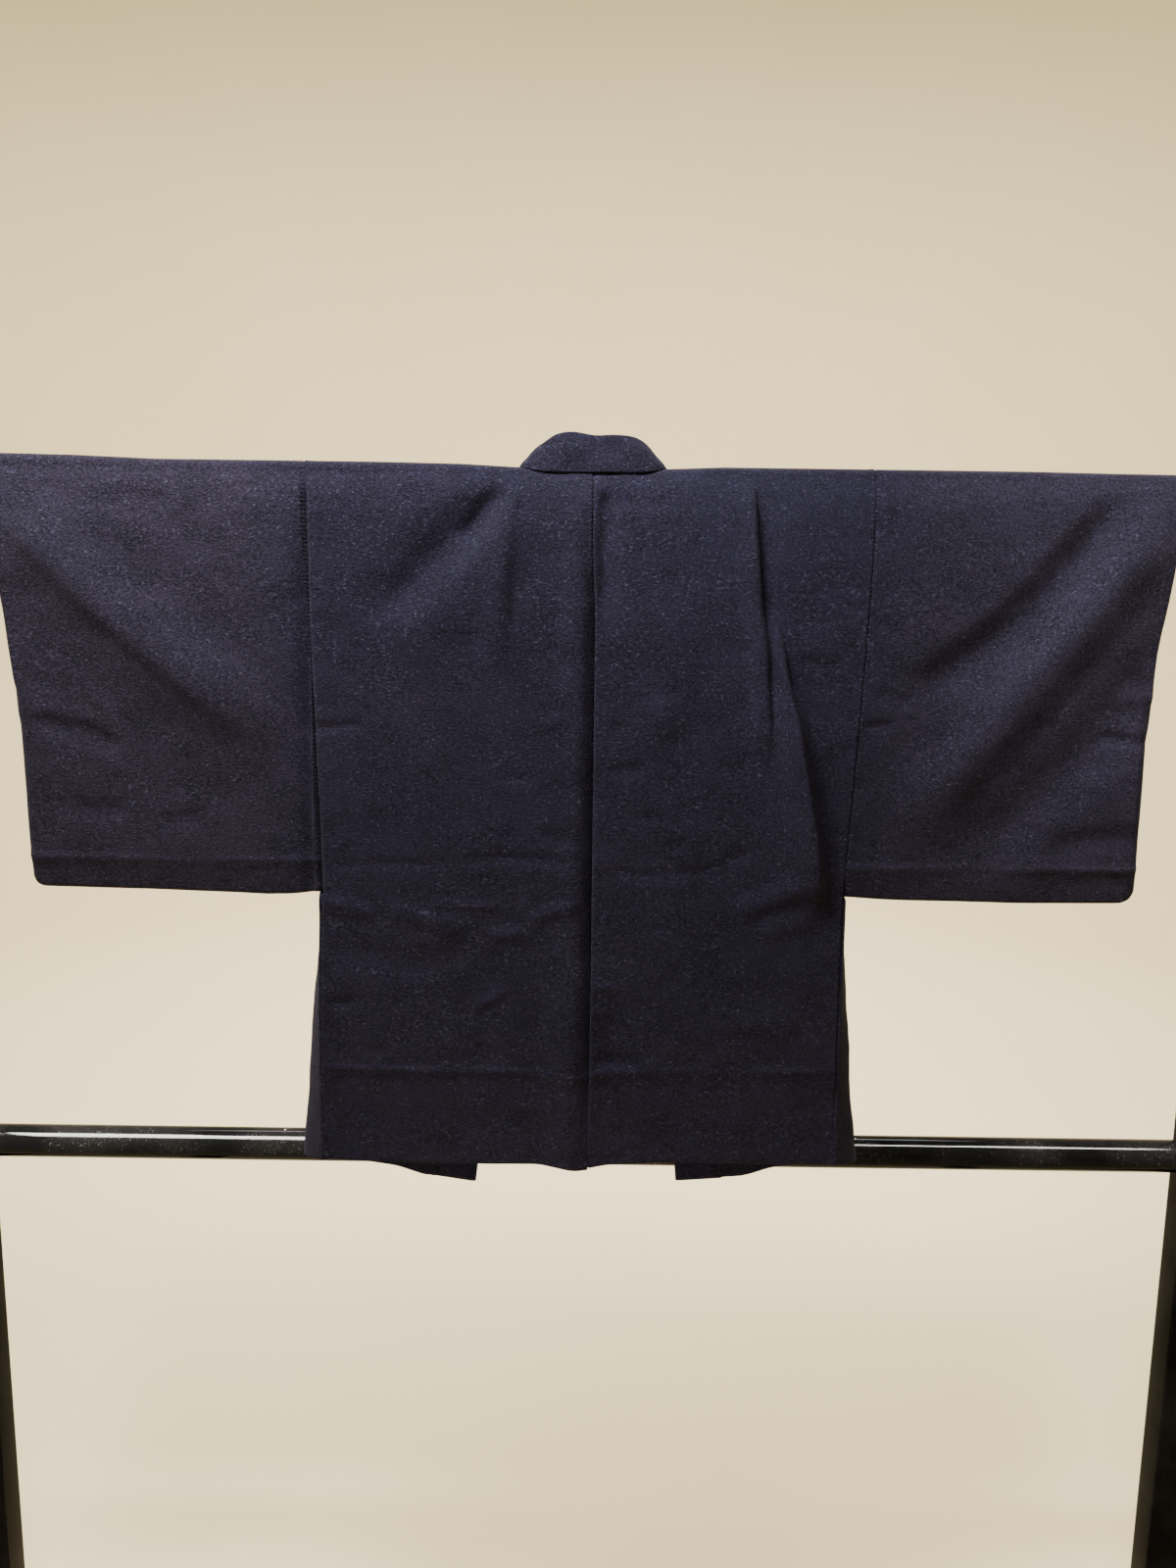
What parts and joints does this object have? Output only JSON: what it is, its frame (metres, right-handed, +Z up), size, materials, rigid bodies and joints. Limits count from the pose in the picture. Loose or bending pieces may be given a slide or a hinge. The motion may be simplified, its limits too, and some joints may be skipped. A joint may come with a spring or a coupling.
{
  "type": "haori jacket on kimono stand",
  "caption": "Short wide-sleeved haori jacket in dark heathered wool, hung by a pole through its sleeves across a black lacquered kimono stand, seen from its back.",
  "frame": {"origin": "on the floor, under the middle of the stand", "axes": "+Z up, the garment's back faces -Y and its open front +Y, the wearer's left is -X"},
  "size_m": [1.688, 0.4, 1.79],
  "materials": {
    "wool_cloth": "matte heathered wool",
    "black_lacquer": "gloss black lacquer on wood",
    "pole_wood": "satin black stained wood"
  },
  "bodies": {
    "root": {"body_left": "wool_cloth", "body_right": "wool_cloth", "sleeve_left": "wool_cloth", "sleeve_right": "wool_cloth", "gusset_left": "wool_cloth", "gusset_right": "wool_cloth", "collar": "wool_cloth", "post_left": "black_lacquer", "post_right": "black_lacquer", "foot_left": "black_lacquer", "foot_right": "black_lacquer", "rail_top": "black_lacquer", "rail_lower": "black_lacquer", "rod_rest_left": "black_lacquer", "rod_rest_right": "black_lacquer", "sleeve_rod": "pole_wood"}
  },
  "joints": []
}
